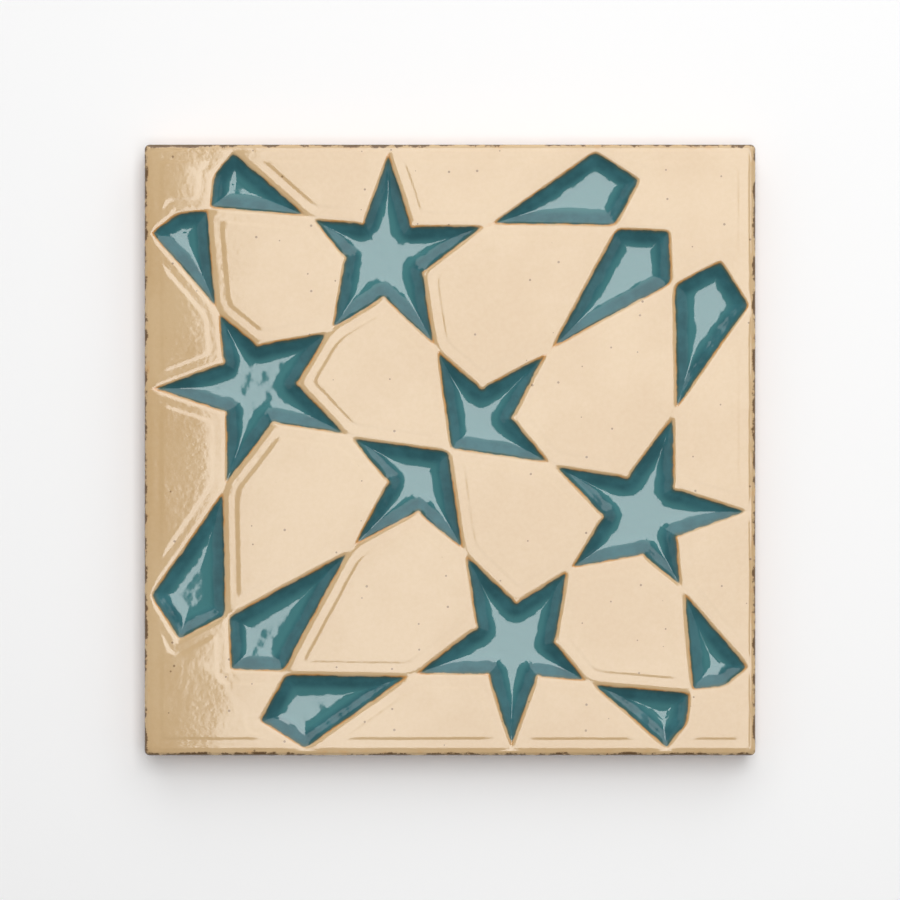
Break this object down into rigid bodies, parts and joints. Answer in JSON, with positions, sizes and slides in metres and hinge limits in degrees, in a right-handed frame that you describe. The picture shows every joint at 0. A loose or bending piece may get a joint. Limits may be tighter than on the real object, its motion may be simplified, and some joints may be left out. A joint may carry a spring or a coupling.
{
  "type": "relief tile",
  "caption": "Square glazed relief wall tile: a raised cream star-and-rosette pattern with kites, tridents and stars sunk in teal, and keying grooves across the back.",
  "frame": {"origin": "middle of the back, on the plane that the tile lies on", "axes": "+Z out of the glazed face; +X and +Y along the tile's sides, with the twelve-fold rosettes at the (-X,-Y) and (+X,+Y) corners"},
  "size_m": [0.2, 0.2, 0.014],
  "materials": {
    "glazed_body": "gloss glaze over a fired clay body: honey cream on the raised pattern, teal pooled in the sunk shapes, bare clay on the back"
  },
  "bodies": {
    "root": {"relief_tile": "glazed_body"}
  },
  "joints": []
}
